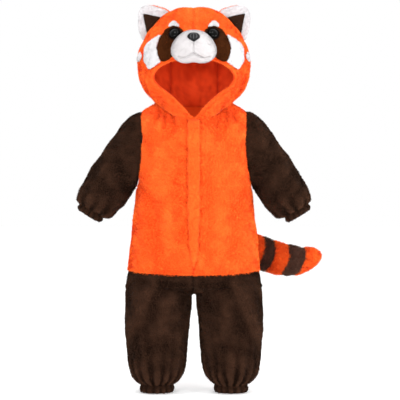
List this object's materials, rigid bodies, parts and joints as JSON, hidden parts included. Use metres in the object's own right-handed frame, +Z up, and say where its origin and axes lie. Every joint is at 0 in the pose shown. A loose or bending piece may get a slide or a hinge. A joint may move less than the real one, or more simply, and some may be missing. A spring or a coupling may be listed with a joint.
{
  "type": "red panda costume",
  "caption": "Child's hooded plush one-piece suit in the form of a red panda, with face, ears, gathered cuffs and a banded tail, filled out as worn.",
  "frame": {"origin": "between the shoulders, level with the bottom of the hood, where the wearer carries the suit", "axes": "+Z up along the body, -Y the front, +X the wearer's left"},
  "size_m": [0.5484, 0.355, 0.8527],
  "materials": {
    "orange_plush": "short, dense, mottled pile with a soft nap",
    "dark_brown_plush": "short, dense pile with a soft nap",
    "cheek_brown_plush": "short pile, nearly black round the eyes",
    "tail_brown_plush": "longer, ruffled pile",
    "white_plush": "short, dense pile",
    "hood_lining": "fine brushed knit",
    "black_nose": "satin black with fine moulded lines",
    "black_eye": "polished black dome"
  },
  "bodies": {
    "root": {"front_left": "orange_plush", "front_right": "orange_plush", "back": "orange_plush", "placket": "orange_plush", "hood_left": "orange_plush", "hood_right": "orange_plush", "hood_edge_left": "orange_plush", "hood_edge_right": "orange_plush", "hood_lining_centre": "hood_lining", "hood_lining_left": "hood_lining", "hood_lining_right": "hood_lining", "brow_left": "white_plush", "brow_right": "white_plush", "eye_patch_left": "cheek_brown_plush", "eye_patch_right": "cheek_brown_plush", "cheek_left": "white_plush", "cheek_right": "white_plush", "side_spot_left": "white_plush", "side_spot_right": "white_plush", "muzzle": "white_plush", "nose": "black_nose", "eye_left": "black_eye", "eye_right": "black_eye", "ear_front_left": "white_plush", "ear_front_right": "white_plush", "ear_back_left": "orange_plush", "ear_back_right": "orange_plush", "ear_inner_left": "dark_brown_plush", "ear_inner_right": "dark_brown_plush", "sleeve_left": "dark_brown_plush", "sleeve_right": "dark_brown_plush", "wrist_cuff_left": "dark_brown_plush", "wrist_cuff_right": "dark_brown_plush", "leg_front_left": "dark_brown_plush", "leg_front_right": "dark_brown_plush", "leg_back_left": "dark_brown_plush", "leg_back_right": "dark_brown_plush", "ankle_cuff_left": "dark_brown_plush", "ankle_cuff_right": "dark_brown_plush", "tail_root": "orange_plush", "tail_ring_1": "tail_brown_plush", "tail_band_1": "orange_plush", "tail_ring_2": "tail_brown_plush", "tail_band_2": "orange_plush", "tail_ring_3": "tail_brown_plush", "tail_tip": "orange_plush"}
  },
  "joints": []
}
